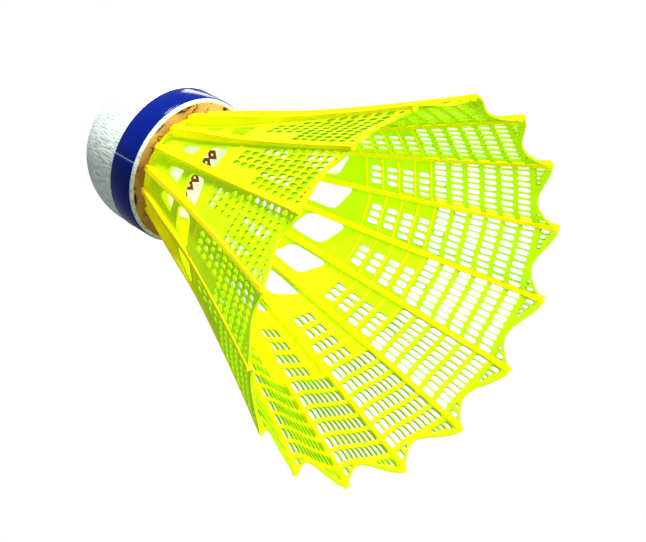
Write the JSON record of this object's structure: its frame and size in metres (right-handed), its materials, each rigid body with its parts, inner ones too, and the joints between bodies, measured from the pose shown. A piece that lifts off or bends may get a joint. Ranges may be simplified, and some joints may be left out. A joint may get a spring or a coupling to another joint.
{
  "type": "badminton shuttlecock",
  "caption": "Synthetic badminton shuttlecock with a ribbed, netted flaring skirt, a leather-covered cork head and a tape band.",
  "frame": {"origin": "centre of the circle through the rib tips, on the plane the tips stand on", "axes": "+Z along the shuttlecock's axis, from the open rim towards the cork nose; +X through one rib"},
  "size_m": [0.066, 0.066, 0.0735],
  "materials": {
    "nylon_skirt": "satin",
    "cork": "raw",
    "white_leather": "satin",
    "blue_tape": "gloss",
    "label": "satin",
    "glue": "gloss"
  },
  "bodies": {
    "root": {"feather_01": "nylon_skirt", "feather_02": "nylon_skirt", "feather_03": "nylon_skirt", "feather_04": "nylon_skirt", "feather_05": "nylon_skirt", "feather_06": "nylon_skirt", "feather_07": "nylon_skirt", "feather_08": "nylon_skirt", "feather_09": "nylon_skirt", "feather_10": "nylon_skirt", "feather_11": "nylon_skirt", "feather_12": "nylon_skirt", "feather_13": "nylon_skirt", "feather_14": "nylon_skirt", "feather_15": "nylon_skirt", "feather_16": "nylon_skirt", "spigot": "nylon_skirt", "glue_sleeve": "glue", "label_disc": "label", "cork_disc": "cork", "cork_nose": "cork", "leather_cover": "white_leather", "tape_band": "blue_tape"}
  },
  "joints": []
}
